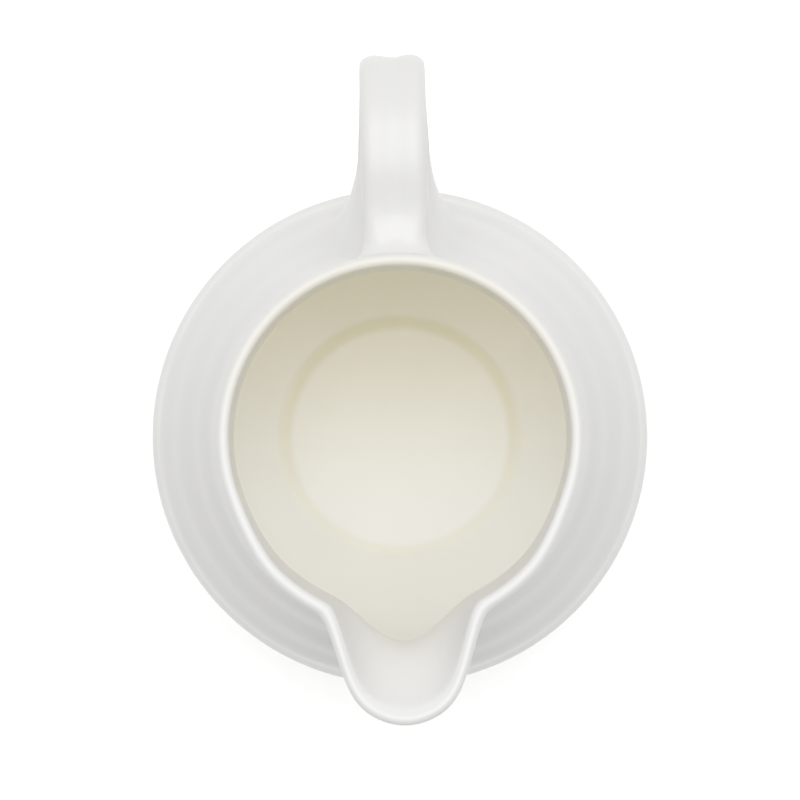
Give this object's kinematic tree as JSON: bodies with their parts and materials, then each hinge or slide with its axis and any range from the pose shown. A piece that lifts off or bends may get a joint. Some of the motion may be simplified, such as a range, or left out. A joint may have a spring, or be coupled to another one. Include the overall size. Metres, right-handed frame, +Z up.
{
  "type": "cream jug",
  "caption": "Round-bellied porcelain cream jug with a broad pouring spout, an open neck, a grooved strap handle and a turned foot ring.",
  "frame": {"origin": "centre of the foot ring's resting face, on the body's axis", "axes": "+Z up, +Y towards the handle, -Y towards the spout, +X to the left of someone pouring"},
  "size_m": [0.098, 0.1259, 0.0896],
  "materials": {
    "glazed_porcelain": "clear glossy glaze over warm white porcelain",
    "bare_porcelain": "unglazed, wiped and polished foot"
  },
  "bodies": {
    "root": {"body": "glazed_porcelain", "spout": "glazed_porcelain", "handle": "glazed_porcelain", "upper_root": "glazed_porcelain", "lower_root": "glazed_porcelain", "foot_ring": "bare_porcelain"}
  },
  "joints": []
}
